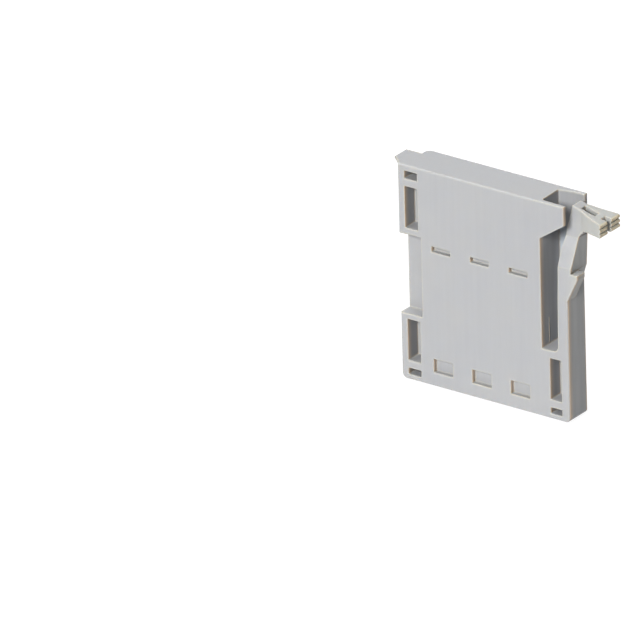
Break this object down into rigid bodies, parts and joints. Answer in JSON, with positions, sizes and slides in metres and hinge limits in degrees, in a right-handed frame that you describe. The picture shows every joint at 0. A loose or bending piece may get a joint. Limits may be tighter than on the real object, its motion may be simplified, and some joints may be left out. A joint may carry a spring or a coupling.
{
  "type": "mini stack connector",
  "caption": "Flat moulded housing for a row of square power contacts, with a side latch arm, hook and forked finger grip.",
  "frame": {"origin": "centre of the middle contact opening, in the contact face", "axes": "+Z away from the contact face, along the contacts; +X towards the latch arm; -Y is the face with the coring pockets"},
  "size_m": [0.0402, 0.007, 0.0375],
  "materials": {
    "grey_polyamide": "light grey moulded polyamide, satin"
  },
  "bodies": {
    "root": {"connector_housing": "grey_polyamide"}
  },
  "joints": []
}
